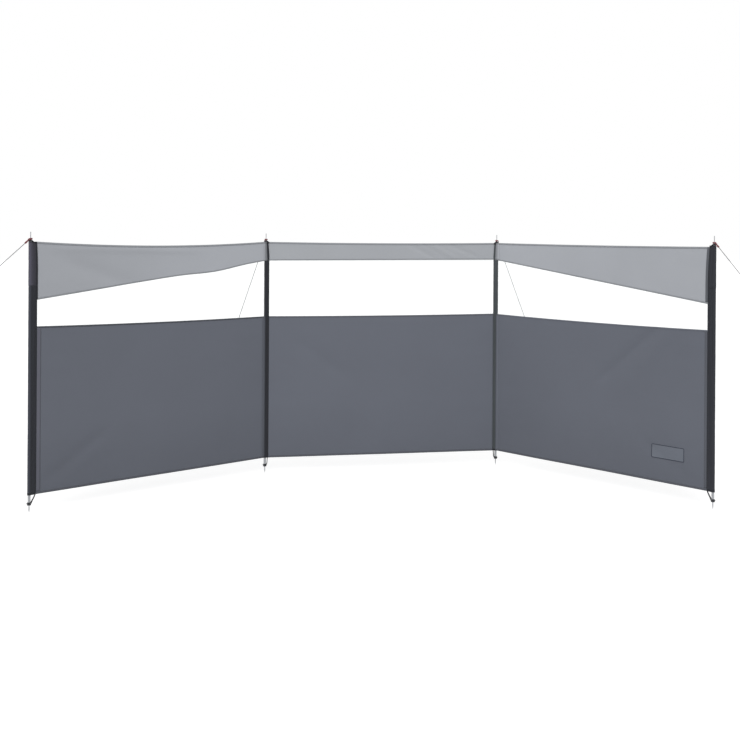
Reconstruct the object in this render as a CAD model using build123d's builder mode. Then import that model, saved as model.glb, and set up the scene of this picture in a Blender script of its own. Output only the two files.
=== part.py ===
from build123d import *
import os
from math import cos, sin, radians, hypot

os.makedirs("parts", exist_ok=True)

# A three-bay beach windbreak, standing in the ground with its two outer bays
# swung forward. Origin: foot of the left inner pole, at ground level.
# +X runs along the centre bay, +Y to the back (the guyed side), +Z up.

# ---------------------------------------------------------------- layout
bay_length = 1667.0          # pole axis to pole axis
fabric_height = 1500.0
ground_gap = 60.0            # ground to the bottom hem
left_fold = 29.5             # degrees each outer bay stands forward of the centre bay
right_fold = 55.0

# ---------------------------------------------------------------- fabric
fabric_thickness = 2.0
film_thickness = 1.2
hem_thickness = 3.4
bottom_hem = 14.0
top_hem = 12.0
inner_hem = 8.0              # hems that hold the clear film
band_depth = 120.0           # top band across the centre bay and at the inner poles
band_depth_outer = 350.0     # the same band at the outer poles
film_depth_outer = 160.0     # clear film at the outer poles, under that band
left_sag = 25.0              # dip of each top edge between its poles
centre_sag = 6.0
right_sag = 6.0
seam_gap = 0.3

# ---------------------------------------------------------------- bare patch
patch_width = 228.0
patch_height = 88.0
patch_from_pole = 189.0      # outer right pole's axis to the patch
patch_lift = 208.0           # ground to the patch
patch_thickness = 1.0

# ---------------------------------------------------------------- poles
tube_radius = 8.0
tube_wall = 1.2
tube_above_fabric = 2.0      # straight tube that stands over the fabric's top edge
swage_length = 7.0           # taper from the tube to its top pin
pin_radius = 2.6
pin_length = 51.0
spike_radius = 3.4
spike_neck = 4.6             # radius where it passes the foot's floor
spike_length = 50.0          # below ground
spike_point = 22.0
stem_length = 45.0           # spike's stem, pressed into the tube
stem_clearance = 0.1

# ---------------------------------------------------------------- pole feet
foot_radius = 11.6
foot_lip = 9.7               # bead that keeps the loop in its groove
foot_height = 17.0
foot_floor = 5.0             # the tube stands on this
foot_clearance = 0.15
groove_radius = 9.4
groove_width = 5.6
groove_height = 9.8          # ground to the groove's middle
loop_radius = 2.4            # elastic cord
loop_spread = 20.0           # degrees each side at which the cord leaves the groove
loop_inset = 6.0             # from the sleeve's seam to the loop's two ends

# ---------------------------------------------------------------- sleeves
outer_sleeve_radius = 10.5    # each sleeve is a flat pocket with its pole at one side
outer_sleeve_width = 42.0    # pole axis to the sleeve's seam
inner_sleeve_radius = 11.0
inner_sleeve_width = 24.0    # the same, on the centre bay's side
sleeve_seam_radius = 1.8
sleeve_clearance = 0.3
tab_thickness = 1.6
tab_width = 17.0
tab_reach = 7.5              # past the pin

# ---------------------------------------------------------------- guys
ring_length = 32.0           # red loop, between the middles of its two ends
ring_width = 6.4             # inside the loop
ring_cord = 2.0
line_radius = 2.0
left_outer_reach = 1760.0    # pole axis to peg, along the ground
right_outer_reach = 1340.0
inner_reach = 1260.0
left_inner_heading = 110.0   # degrees from +X
right_inner_heading = 46.0
peg_radius = 2.5
peg_length = 190.0
peg_lean = 26.0              # degrees from upright, head away from the pole
peg_head = 24.0              # ground to the top of the peg's bend
peg_hook = 22.0
peg_point = 2.0
line_foot = 10.0             # ground to the line's turn round the peg
turn_gap = 0.5               # the turn lies aslant to the peg's shank
runner_length = 44.0         # bar with two holes that tightens the line
runner_width = 12.0
runner_thickness = 5.0
runner_hole_spacing = 24.0
runner_hole_clearance = 0.4
runner_from_peg = 430.0
knot_radius = 4.2
knot_length = 6.0

# ---------------------------------------------------------------- derived
bore_radius = tube_radius - tube_wall
fabric_top = ground_gap + fabric_height
lower_panel_height = fabric_height - band_depth_outer - film_depth_outer
panel_top = ground_gap + lower_panel_height
tube_top = fabric_top + tube_above_fabric
pin_base = tube_top + swage_length
tab_bottom = pin_base + seam_gap
tab_top = tab_bottom + tab_thickness
outer_clear = outer_sleeve_width + seam_gap     # where the outer bays start
inner_clear = inner_sleeve_width + seam_gap     # where the centre bay starts
swing_clear = inner_sleeve_radius + seam_gap    # where the outer bays end, round the inner poles


def ground_plane(x, y, heading):
    """A level plane at ground height whose x axis points along heading."""
    turn = radians(heading)
    return Plane(origin=(x, y, 0), x_dir=(cos(turn), sin(turn), 0), z_dir=(0, 0, 1))


def upright(station):
    """The standing plane through a station, x as the station's and y up."""
    return Plane(origin=station.origin, x_dir=station.x_dir, z_dir=-station.y_dir)


def place(station, x, y, z):
    return station.from_local_coords(Vector(x, y, z))


# Each pole's station points into the bay whose fabric it carries.
outer_left = ground_plane(
    -bay_length * cos(radians(left_fold)), -bay_length * sin(radians(left_fold)), left_fold
)
inner_left = ground_plane(0, 0, 0)
inner_right = ground_plane(bay_length, 0, 180)
outer_right = ground_plane(
    bay_length + bay_length * cos(radians(right_fold)),
    -bay_length * sin(radians(right_fold)),
    180 - right_fold,
)


def finish(builder, name):
    builder.part.label = name
    export_step(builder.part, f"parts/{name}.step")


# ================================================================ poles
def make_pole(name, station):
    """Steel tube, closed at the top where it is swaged down to a thin pin."""
    with BuildPart() as pole:
        with BuildSketch(upright(station)):
            with BuildLine():
                Polyline(
                    (0, pin_base + pin_length),
                    (0, tube_top - tube_wall),
                    (bore_radius, tube_top - tube_wall),
                    (bore_radius, foot_floor),
                    (tube_radius, foot_floor),
                    (tube_radius, tube_top),
                    (pin_radius, pin_base),
                    (pin_radius, pin_base + pin_length - pin_radius),
                )
                RadiusArc(
                    (pin_radius, pin_base + pin_length - pin_radius),
                    (0, pin_base + pin_length),
                    -pin_radius,
                )
            make_face()
        revolve(axis=Axis(station.origin, (0, 0, 1)))
    finish(pole, name)


def make_spike(name, station):
    """Pointed ground spike with a thicker stem that fills the tube's end."""
    stem_radius = bore_radius - stem_clearance
    with BuildPart() as spike:
        with BuildSketch(upright(station)):
            with BuildLine():
                Polyline(
                    (0, -spike_length),
                    (spike_radius, spike_point - spike_length),
                    (spike_radius, 0),
                    (spike_neck, 0),
                    (spike_neck, foot_floor),
                    (stem_radius, foot_floor),
                    (stem_radius, foot_floor + stem_length),
                    (0, foot_floor + stem_length),
                    close=True,
                )
            make_face()
        revolve(axis=Axis(station.origin, (0, 0, 1)))
    finish(spike, name)


def make_foot(name, station):
    """Moulded cup round the tube's end, grooved for the elastic loop."""
    low = groove_height - groove_width / 2
    high = groove_height + groove_width / 2
    with BuildPart() as foot:
        with BuildSketch(upright(station)):
            with BuildLine():
                Polyline(
                    (spike_neck + foot_clearance, 0),
                    (foot_radius, 0),
                    (foot_radius, low),
                    (groove_radius, low),
                    (groove_radius, high),
                    (foot_lip, high),
                    (foot_lip, foot_height),
                    (tube_radius + foot_clearance, foot_height),
                    (tube_radius + foot_clearance, foot_floor),
                    (spike_neck + foot_clearance, foot_floor),
                    close=True,
                )
            make_face()
        revolve(axis=Axis(station.origin, (0, 0, 1)))
    finish(foot, name)


# ================================================================ sleeves
def make_sleeve(name, station, radius, width):
    """Fabric pole sleeve with a webbing tab that drops over the top pin."""
    with BuildPart() as sleeve:
        with BuildSketch(station.offset(ground_gap)):
            Circle(radius)
            with Locations((width - sleeve_seam_radius, 0)):
                Circle(sleeve_seam_radius)
            make_hull()
            Circle(tube_radius + sleeve_clearance, mode=Mode.SUBTRACT)
        extrude(amount=fabric_height)
        with BuildSketch(upright(station)):
            with BuildLine():
                tab_side = tube_radius + sleeve_clearance + 1.0
                Polyline(
                    (tab_side, fabric_top - 1.0),
                    (tab_side, tab_bottom),
                    (-tab_reach, tab_bottom),
                    (-tab_reach, tab_bottom + tab_thickness),
                    (tab_side + tab_thickness, tab_bottom + tab_thickness),
                    (tab_side + tab_thickness, fabric_top - 1.0),
                    close=True,
                )
            make_face()
        extrude(amount=tab_width / 2, both=True)
        with BuildSketch(station.offset(tab_bottom)):
            Circle(pin_radius + sleeve_clearance)
        extrude(amount=tab_thickness, mode=Mode.SUBTRACT)
    finish(sleeve, name)


def make_foot_loop(name, station, corner):
    """Elastic cord from the sleeve's bottom corner, down round the foot's groove."""
    ring = groove_radius + loop_radius + 0.2
    start = ring + 0.5
    spread = radians(loop_spread)
    with BuildPart() as loop:
        with BuildSketch(upright(station)):
            with Locations((ring, groove_height)):
                RegularPolygon(loop_radius, 8)
        revolve(axis=Axis(station.origin, (0, 0, 1)))
        for side in (-1, 1):
            low = place(station, start * cos(spread), side * start * sin(spread), groove_height)
            high = place(
                station, corner, side * (loop_radius + 0.4), ground_gap - loop_radius / 2
            )
            with BuildSketch(Plane(origin=low, z_dir=high - low)):
                Circle(loop_radius)
            extrude(amount=(high - low).length)
    finish(loop, name)


# ================================================================ bays
def make_bay(name, station, clear, depth, sag):
    """Lower panel, clear film and top band between two sleeves, edge to edge.

    clear and depth are pairs, at the bay's start and at its end.
    """
    face = upright(station)
    start, end = clear[0], bay_length - clear[1]
    middle = (start + end) / 2
    span = end - start
    low_start, low_end = fabric_top - depth[0], fabric_top - depth[1]

    with BuildPart() as lower_panel:
        with BuildSketch(face):
            with Locations((middle, ground_gap + lower_panel_height / 2)):
                Rectangle(span, lower_panel_height)
        extrude(amount=fabric_thickness / 2, both=True)
        with BuildSketch(face):
            with Locations((middle, ground_gap + bottom_hem / 2)):
                Rectangle(span, bottom_hem)
            with Locations((middle, panel_top - inner_hem / 2)):
                Rectangle(span, inner_hem)
        extrude(amount=hem_thickness / 2, both=True)
    finish(lower_panel, f"{name}_lower_panel")

    with BuildPart() as window:
        with BuildSketch(face):
            with BuildLine():
                Polyline(
                    (start, panel_top), (end, panel_top), (end, low_end), (start, low_start), close=True
                )
            make_face()
        extrude(amount=film_thickness / 2, both=True)
    finish(window, f"{name}_window")

    with BuildPart() as top_band:
        with BuildSketch(face):
            with BuildLine():
                ThreePointArc((start, fabric_top), (middle, fabric_top - sag), (end, fabric_top))
                Polyline((end, fabric_top), (end, low_end), (start, low_start), (start, fabric_top))
            make_face()
        extrude(amount=fabric_thickness / 2, both=True)
        with BuildSketch(face):
            with BuildLine():
                ThreePointArc((start, fabric_top), (middle, fabric_top - sag), (end, fabric_top))
                Line((end, fabric_top), (end, fabric_top - top_hem))
                ThreePointArc(
                    (end, fabric_top - top_hem),
                    (middle, fabric_top - top_hem - sag),
                    (start, fabric_top - top_hem),
                )
                Line((start, fabric_top - top_hem), (start, fabric_top))
            make_face()
            with BuildLine():
                Polyline(
                    (start, low_start),
                    (end, low_end),
                    (end, low_end + inner_hem),
                    (start, low_start + inner_hem),
                    close=True,
                )
            make_face()
        extrude(amount=hem_thickness / 2, both=True)
    finish(top_band, f"{name}_top_band")


# ================================================================ guys
def make_guy(name, station, heading, reach, tab_below):
    """Red loop over the pin, taut line, runner and hooked ground peg.

    tab_below is how far out from the pin the webbing tab lies under the loop.
    """
    guy = ground_plane(station.origin.X, station.origin.Y, heading)
    side = upright(guy)
    fall = pin_base / reach
    slant = hypot(1, fall)
    ring_height = tab_top + seam_gap + tab_below * fall + ring_cord * slant

    lean = radians(peg_lean)
    # the peg's shank meets the ground at the reach; its head leans away
    head = (reach + peg_head * sin(lean) / cos(lean), peg_head)
    tip = (head[0] - peg_length * sin(lean), head[1] - peg_length * cos(lean))
    hook = (head[0] + peg_hook * cos(lean), head[1] - peg_hook * sin(lean))
    with BuildPart() as peg:
        with BuildLine(side):
            path = FilletPolyline(tip, head, hook, radius=2.2 * peg_radius)
        with BuildSketch(Plane(origin=path @ 0, z_dir=path % 0)):
            Circle(peg_radius)
        sweep()
        chamfer(peg.edges().filter_by(GeomType.CIRCLE).sort_by(Axis.Z)[0], peg_point)
    finish(peg, f"{name}_peg")

    # The line runs from the red loop through the runner's first hole, round the
    # peg's shank, and back to a knot behind the second hole.
    on_pin = place(guy, 0, 0, ring_height)
    shank_middle = place(guy, reach + line_foot * sin(lean) / cos(lean), 0, line_foot)
    across = guy.y_dir * (peg_radius + turn_gap + line_radius)
    pull = (shank_middle + across - on_pin).normalized()
    # the loop's back end bears on the far side of the pin, which crosses it aslant
    behind = pin_radius * slant + ring_cord * fall + seam_gap
    ring_middle = (ring_length + ring_width) / 2 - behind
    ring_end = ring_middle + (ring_length + ring_width) / 2 + 2 * ring_cord
    lay = Plane(origin=on_pin, x_dir=pull, z_dir=pull.cross(guy.y_dir))
    with BuildPart() as ring:
        with BuildSketch(lay):
            with Locations((ring_middle, 0)):
                SlotCenterToCenter(ring_length, ring_width + 4 * ring_cord)
                SlotCenterToCenter(ring_length, ring_width, mode=Mode.SUBTRACT)
        extrude(amount=ring_cord, both=True)
        chamfer(ring.edges().filter_by(lay), 0.55 * ring_cord)
    finish(ring, f"{name}_guy_ring")

    top = on_pin + pull * (ring_end + seam_gap)
    first_hole = shank_middle + across - pull * runner_from_peg
    second_hole = first_hole - guy.y_dir * runner_hole_spacing
    back = (second_hole - shank_middle + across).normalized()
    knot = second_hole + back * (runner_thickness / 2 + seam_gap)
    with BuildPart() as line:
        with BuildSketch(Plane(origin=top, z_dir=pull)):
            Circle(line_radius)
        extrude(amount=(shank_middle + across - top).length)
        with BuildSketch(Plane(origin=shank_middle + across, x_dir=guy.y_dir, z_dir=pull)):
            RegularPolygon(line_radius, 8)
        revolve(axis=Axis(shank_middle, guy.y_dir.cross(pull)), revolution_arc=180)
        with BuildSketch(Plane(origin=shank_middle - across, z_dir=back)):
            Circle(line_radius)
        extrude(amount=(knot - shank_middle + across).length)
        with BuildSketch(Plane(origin=knot, z_dir=back)):
            Circle(knot_radius)
        extrude(amount=knot_length, taper=12)
    finish(line, f"{name}_guy_line")

    with BuildPart() as runner:
        middle = (first_hole + second_hole) / 2
        with BuildSketch(Plane(origin=middle, x_dir=guy.y_dir, z_dir=pull)):
            SlotOverall(runner_length, runner_width)
            with GridLocations(runner_hole_spacing, 0, 2, 1):
                Circle(line_radius + runner_hole_clearance, mode=Mode.SUBTRACT)
        extrude(amount=runner_thickness / 2, both=True)
    finish(runner, f"{name}_guy_runner")


# ================================================================ the windbreak
for name, station, radius, width in (
    ("outer_left", outer_left, outer_sleeve_radius, outer_sleeve_width),
    ("inner_left", inner_left, inner_sleeve_radius, inner_sleeve_width),
    ("inner_right", inner_right, inner_sleeve_radius, inner_sleeve_width),
    ("outer_right", outer_right, outer_sleeve_radius, outer_sleeve_width),
):
    make_pole(f"{name}_pole", station)
    make_spike(f"{name}_spike", station)
    make_foot(f"{name}_foot", station)
    make_sleeve(f"{name}_sleeve", station, radius, width)
    make_foot_loop(f"{name}_foot_loop", station, width - loop_inset)

tab_corner = hypot(tab_reach, tab_width / 2)
make_guy("outer_left", outer_left, 180 + left_fold, left_outer_reach, tab_reach)
make_guy("inner_left", inner_left, left_inner_heading, inner_reach, tab_corner)
make_guy("inner_right", inner_right, right_inner_heading, inner_reach, tab_corner)
make_guy("outer_right", outer_right, -right_fold, right_outer_reach, tab_reach)

# Every bay is drawn from its left pole to its right one, so its face looks forward.
right_bay = ground_plane(bay_length, 0, -right_fold)
make_bay("left", outer_left, (outer_clear, swing_clear), (band_depth_outer, band_depth), left_sag)
make_bay("centre", inner_left, (inner_clear, inner_clear), (band_depth, band_depth), centre_sag)
make_bay("right", right_bay, (swing_clear, outer_clear), (band_depth, band_depth_outer), right_sag)

with BuildPart() as patch:
    front = upright(right_bay).offset(fabric_thickness / 2)
    with BuildSketch(front):
        with Locations(
            (bay_length - patch_from_pole - patch_width / 2, patch_lift + patch_height / 2)
        ):
            RectangleRounded(patch_width, patch_height, 3.0)
    extrude(amount=patch_thickness)
finish(patch, "bare_patch")
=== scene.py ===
# %% [markdown]
# # A three-bay beach windbreak
#
# The windbreak is cloth stretched between four steel poles: a dark lower
# panel, a strip of clear film to look through, and a light band on top. The
# rigid parts come packed, as a frame that nothing here moves. This notebook
# gives them their finishes, and replaces the plain soft solids with real
# sheets, hems, sleeves, cords and stitching.

# %% Load the fixed frame
import math

import bmesh
import bpy
from mathutils import Matrix, Vector, noise


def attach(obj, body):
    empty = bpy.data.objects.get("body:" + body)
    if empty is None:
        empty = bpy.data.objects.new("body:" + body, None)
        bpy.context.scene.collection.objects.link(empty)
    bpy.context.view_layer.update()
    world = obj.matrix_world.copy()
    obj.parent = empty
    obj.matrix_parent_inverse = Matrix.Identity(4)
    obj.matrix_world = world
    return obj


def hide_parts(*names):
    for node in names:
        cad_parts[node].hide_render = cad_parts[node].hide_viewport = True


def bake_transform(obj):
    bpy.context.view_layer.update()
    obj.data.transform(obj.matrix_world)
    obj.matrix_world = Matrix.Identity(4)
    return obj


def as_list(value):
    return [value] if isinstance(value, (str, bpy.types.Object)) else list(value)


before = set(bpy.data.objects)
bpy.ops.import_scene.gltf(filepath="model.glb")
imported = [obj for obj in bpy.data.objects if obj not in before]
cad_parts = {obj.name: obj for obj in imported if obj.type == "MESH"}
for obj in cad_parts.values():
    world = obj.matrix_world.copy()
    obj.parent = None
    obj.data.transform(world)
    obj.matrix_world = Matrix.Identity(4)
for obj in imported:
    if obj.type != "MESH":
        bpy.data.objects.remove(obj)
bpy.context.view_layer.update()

# %% [markdown]
# ## Camera
#
# The poles stand upright in the picture, so the camera was level. It stood
# about seven metres away at eye height, a little left of the middle, and the
# picture was cropped lower than its horizon, which a small lens shift
# repeats. The focal length is given in pixels of a 740 pixel frame first,
# because that is how a camera is measured from known points.

# %% Camera
FRAME_PIXELS = 740
FOCAL_PIXELS = 1020.9
HORIZON_ROW = 236.0
SENSOR = 36.0
CAMERA_AT = (-0.523, -7.123, 1.606)
TURNED, ROLLED = math.radians(-10.01), math.radians(0.35)

camera_data = bpy.data.cameras.new("camera")
camera_data.sensor_width = SENSOR
camera_data.lens = SENSOR * FOCAL_PIXELS / FRAME_PIXELS
camera_data.shift_y = (HORIZON_ROW - FRAME_PIXELS / 2) / FRAME_PIXELS
camera = bpy.data.objects.new("camera", camera_data)
camera.matrix_world = (
    Matrix.Translation(CAMERA_AT)
    @ Matrix.Rotation(TURNED, 4, "Z")
    @ Matrix.Rotation(math.radians(90), 4, "X")
    @ Matrix.Rotation(ROLLED, 4, "Z")
)
bpy.context.scene.collection.objects.link(camera)
bpy.context.scene.camera = camera
print("lens", round(camera_data.lens, 2), "shift", round(camera_data.shift_y, 3))

# %% [markdown]
# ## Where the cloth hangs
#
# Each bay is drawn in its own upright space: x runs along the bay from its
# left pole, y points to the back, and z is the height above the ground. One
# matrix per bay then sets it between its poles. Working this way, a hem or a
# row of stitches is written once and fits all three bays.

# %% Sizes in metres
SPAN = 1.667  # from one pole's axis to the next
FABRIC_LOW, FABRIC_TOP = 0.060, 1.560  # heights of the cloth's lower and upper edge
PANEL_TOP = 1.050  # where the dark panel ends and the film starts
PLAIN_HEIGHT = 0.5  # a height at which no sleeve has narrowed yet
LEFT_TURN, RIGHT_TURN = math.radians(29.5), math.radians(55.0)
CLOTH, FILM = 0.0008, 0.0005  # thickness
SEWN_IN = 0.003  # how far the cloth goes into a sleeve's seam
GAP = 0.0003  # between pieces that would otherwise touch


def stand(origin, heading):
    """A space at ground level whose x axis points along heading."""
    return Matrix.Translation(origin) @ Matrix.Rotation(heading, 4, "Z")


def clamp(value):
    return min(max(value, 0.0), 1.0)


inner_left = Vector((0, 0, 0))
inner_right = Vector((SPAN, 0, 0))
outer_left = inner_left - SPAN * Vector((math.cos(LEFT_TURN), math.sin(LEFT_TURN), 0))
outer_right = inner_right + SPAN * Vector((math.cos(RIGHT_TURN), -math.sin(RIGHT_TURN), 0))
left_space = stand(outer_left, LEFT_TURN)
right_space = stand(inner_right, -RIGHT_TURN)
print("outer poles:", outer_left.to_2d()[:], outer_right.to_2d()[:])

# %% [markdown]
# ## Pole sleeves as outlines
#
# A sleeve is a flat pocket with its pole at one side: seen from above it is
# a drop, round at the pole and drawn together at the seam. Its outline is a
# circle with two tangents that meet at the seam. Near the top the pocket is
# pulled in towards the pole, so the seam comes closer. Right-hand poles use
# the same outline in a mirrored space, so x always points to the seam and
# the front is always at negative y.

# %% Sleeve outlines
class Sleeve:
    """A pole's pocket of cloth, in a space whose x axis points to its seam."""

    def __init__(self, name, body, space, round_radius, width, top_width, narrow_from):
        self.name, self.body, self.space = name, body, space
        self.radius, self.width = round_radius, width
        self.top_width, self.narrow_from = top_width, narrow_from

    def seam(self, z):
        share = clamp((z - self.narrow_from) / (FABRIC_TOP - self.narrow_from))
        return self.width - (self.width - self.top_width) * share * share

    def reach(self, z, angle):
        """Distance from the pole's axis to the cloth, at an angle from the seam."""
        tangent = math.acos(self.radius / self.seam(z))
        return self.radius / math.cos(max(tangent - abs(angle), 0.0))


mirror = Matrix.Scale(-1, 4, (1, 0, 0))
right_end = right_space @ Matrix.Translation((SPAN, 0, 0))
SLEEVES = {name: Sleeve(name, *values) for name, *values in (
    # name, body, space, radius round the pole, width, width at the top, narrowing from
    ("outer_left", "left_bay", left_space, 0.0105, 0.042, 0.036, 1.38),
    ("inner_left", "centre", stand(inner_left, 0), 0.011, 0.024, 0.016, 1.43),
    ("inner_right", "centre", stand(inner_right, 0) @ mirror, 0.011, 0.024, 0.016, 1.43),
    ("outer_right", "right_bay", right_end @ mirror, 0.0105, 0.042, 0.030, 1.30),
)}
print("pocket widths:", {name: sleeve.width for name, sleeve in SLEEVES.items()})

# %% [markdown]
# ## Bays and their drape
#
# The drape of a stretched sheet is small but it is what makes cloth look
# like cloth: slow waves of a few millimetres, a pull from the poles, and the
# few diagonal creases that it kept from its bag. `Bay.back` adds them up for
# any point of the sheet, so hems, stitches and the patch can follow it too.
# The edges aren't quite straight either. Each dips a little between its
# poles, and the left band hangs slack in one place near its inner pole. Along
# a bay, u runs from 0 at its first pole to 1 at its second.

# %% One bay
SLACK_AT, SLACK_BREADTH = 0.755, 0.12  # where along the bay the slack hangs, and how wide
SLOW_WAVE, QUICK_WAVE, POLE_PULL = 0.0045, 0.0016, 0.0012


class Bay:
    """One stretch of cloth: its space, its two edges, its band and its folds."""

    def __init__(self, name, body, space, edges, depths, panel, sag, seed, creases,
                 slack=0.0, corner_drop=0.0):
        self.name, self.body, self.space, self.edges = name, body, space, edges
        self.depths, self.sag, self.seed, self.creases = depths, sag, seed, creases
        self.panel, self.slack, self.corner_drop = panel, slack, corner_drop

    def side(self, z, end):
        """How far from a pole the cloth ends; an edge is a sleeve or a plain distance."""
        edge = self.edges[end]
        return edge.seam(z) - SEWN_IN if isinstance(edge, Sleeve) else edge + GAP

    def across(self, u, z):
        start = self.side(z, 0)
        return start + u * (SPAN - self.side(z, 1) - start)

    def width(self):
        return self.across(1, PLAIN_HEIGHT) - self.across(0, PLAIN_HEIGHT)

    def share(self, x):
        return clamp((x - self.side(PLAIN_HEIGHT, 0)) / self.width())

    def top(self, u):
        """Height of the top edge, which dips and may drop towards its last corner."""
        return FABRIC_TOP - self.corner_drop * u * u - 4 * self.sag * u * (1 - u)

    def panel_top(self, u):
        """Height of the dark panel's top edge: a rise at each end, less the sag between."""
        first, last, sag = self.panel
        return PANEL_TOP + first + u * (last - first) - 4 * sag * u * (1 - u)

    def band_low(self, u):
        """Height of the band's lower edge: a straight cut, less its slack wave."""
        wave = math.exp(-(((u - SLACK_AT) / SLACK_BREADTH) ** 2))
        depth = self.depths[0] + u * (self.depths[1] - self.depths[0])
        return FABRIC_TOP - depth - self.slack * wave

    def back(self, x, z):
        """How far the cloth stands behind the flat plane between its poles."""
        u = self.share(x)
        free = 1 - (1 - math.sin(math.pi * u)) ** 3
        waves = SLOW_WAVE * noise.noise(Vector((x * 1.7, z * 1.3, self.seed)))
        waves += QUICK_WAVE * noise.noise(Vector((x * 5.1, z * 3.2, self.seed + 7)))
        near_poles = math.exp(-((u * 9) ** 2)) + math.exp(-(((1 - u) * 9) ** 2))
        wander = 3 * noise.noise(Vector((z * 3, u, self.seed)))
        waves += POLE_PULL * near_poles * math.sin(z * 46 + wander)
        for x0, z0, x1, z1, depth, breadth in self.creases:
            run, offset = Vector((x1 - x0, z1 - z0)), Vector((x - x0, z - z0))
            along = offset.dot(run) / run.length_squared
            aside = (offset.x * run.y - offset.y * run.x) / run.length
            if -0.3 < along < 1.3:
                fade = math.exp(-((max(abs(along - 0.5) - 0.35, 0) * 4) ** 2))
                waves += depth * fade * math.exp(-((aside / breadth) ** 2))
        return free * waves


# %% Three bays
SWING_EDGE = 0.0124  # an outer bay's cloth stops here, so that it can turn round the pole
# depths are the band's at both poles; panel gives the rise of the dark cloth's
# top edge at both poles and its sag; a crease runs from one point of the sheet
# to another (x, z, x, z), with its depth and its breadth
BAYS = [
    Bay("left", "left_bay", left_space, (SLEEVES["outer_left"], SWING_EDGE),
        depths=(0.345, 0.131), panel=(0.006, -0.0075, 0.0065), sag=0.025, seed=1.3,
        creases=[(0.06, 1.50, 0.85, 1.22, 0.006, 0.05), (0.05, 0.10, 0.45, 0.36, 0.005, 0.04),
                 (0.10, 1.52, 1.00, 1.50, -0.003, 0.018)], slack=0.0155),
    Bay("centre", "centre", stand(inner_left, 0), (SLEEVES["inner_left"], SLEEVES["inner_right"]),
        depths=(0.128, 0.119), panel=(-0.0075, -0.0015, 0.004), sag=0.006, seed=5.9,
        creases=[(1.02, 1.55, 1.20, 1.45, 0.003, 0.018), (1.16, 1.55, 1.36, 1.45, -0.003, 0.016),
                 (1.30, 1.55, 1.52, 1.46, 0.003, 0.016), (0.10, 0.95, 0.60, 0.60, 0.004, 0.05)]),
    Bay("right", "right_bay", right_space, (SWING_EDGE, SLEEVES["outer_right"]),
        depths=(0.124, 0.357), panel=(-0.0035, -0.0075, 0.0075), sag=0.006, seed=9.2,
        creases=[(1.29, 1.03, 0.87, 0.67, 0.009, 0.035), (1.40, 1.04, 1.02, 0.62, -0.005, 0.05),
                 (1.55, 0.10, 1.20, 0.30, 0.004, 0.04)], corner_drop=0.0085),
]
print("cloth widths:", {bay.name: round(bay.width(), 4) for bay in BAYS})

# %% [markdown]
# ## Colours and shared shader effects
#
# Effects that come back in several finishes are node groups, which the
# materials place with their own values. The weave is two crossed rows of
# threads, read from the cloth's own UV map, which is laid out in metres so
# that the threads have their real size. The tone is a slow drift of
# brightness, as dyed cloth and sunlight give, with a little dirt near the
# ground. Streaks of painted shade run along a sleeve, as its small folds
# would shade it, and the plait winds round every cord.

# %% Colour helper
def paint(red, green, blue):
    """An 8-bit display colour as the linear values a shader takes."""
    def linear(value):
        value /= 255
        return value / 12.92 if value <= 0.04045 else ((value + 0.055) / 1.055) ** 2.4
    return (linear(red), linear(green), linear(blue), 1.0)


print("a middle grey:", [round(value, 3) for value in paint(128, 128, 128)[:3]])


# %% Node helpers
def new_group(name, inputs, outputs):
    """A shader node group with float or vector sockets."""
    kinds = {"F": "NodeSocketFloat", "V": "NodeSocketVector"}
    group = bpy.data.node_groups.new(name, "ShaderNodeTree")
    for side, sockets in (("INPUT", inputs), ("OUTPUT", outputs)):
        for socket, kind in sockets:
            group.interface.new_socket(name=socket, in_out=side, socket_type=kinds[kind])
    return group, group.nodes.new("NodeGroupInput"), group.nodes.new("NodeGroupOutput")


def math_node(tree, operation, first, second=None, third=None):
    """One Math node; sockets are linked and numbers are written in."""
    node = tree.nodes.new("ShaderNodeMath")
    node.operation = operation
    for slot, value in enumerate((first, second, third)):
        if value is None:
            continue
        if isinstance(value, (int, float)):
            node.inputs[slot].default_value = value
        else:
            tree.links.new(value, node.inputs[slot])
    return node.outputs[0]


# %% Woven threads
weave_group, given, result = new_group(
    "Crossed threads", [("Vector", "V"), ("Threads", "F")], [("Height", "F"), ("Tone", "F")]
)
split = weave_group.nodes.new("ShaderNodeSeparateXYZ")
weave_group.links.new(given.outputs["Vector"], split.inputs[0])
angles = []
for axis in ("X", "Y"):
    turns = math_node(weave_group, "MULTIPLY", split.outputs[axis], given.outputs["Threads"])
    angles.append(math_node(weave_group, "MULTIPLY", turns, math.pi))
warp = math_node(weave_group, "SINE", angles[0])
weft = math_node(weave_group, "SINE", angles[1])
crossing = math_node(weave_group, "MULTIPLY", warp, weft)
height = math_node(weave_group, "MULTIPLY_ADD", crossing, 0.5, 0.5)
weave_group.links.new(height, result.inputs["Height"])
shade = math_node(weave_group, "MULTIPLY_ADD", height, 0.10, 0.95)
weave_group.links.new(shade, result.inputs["Tone"])
print(weave_group.name, "has", len(weave_group.nodes), "nodes")

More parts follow.
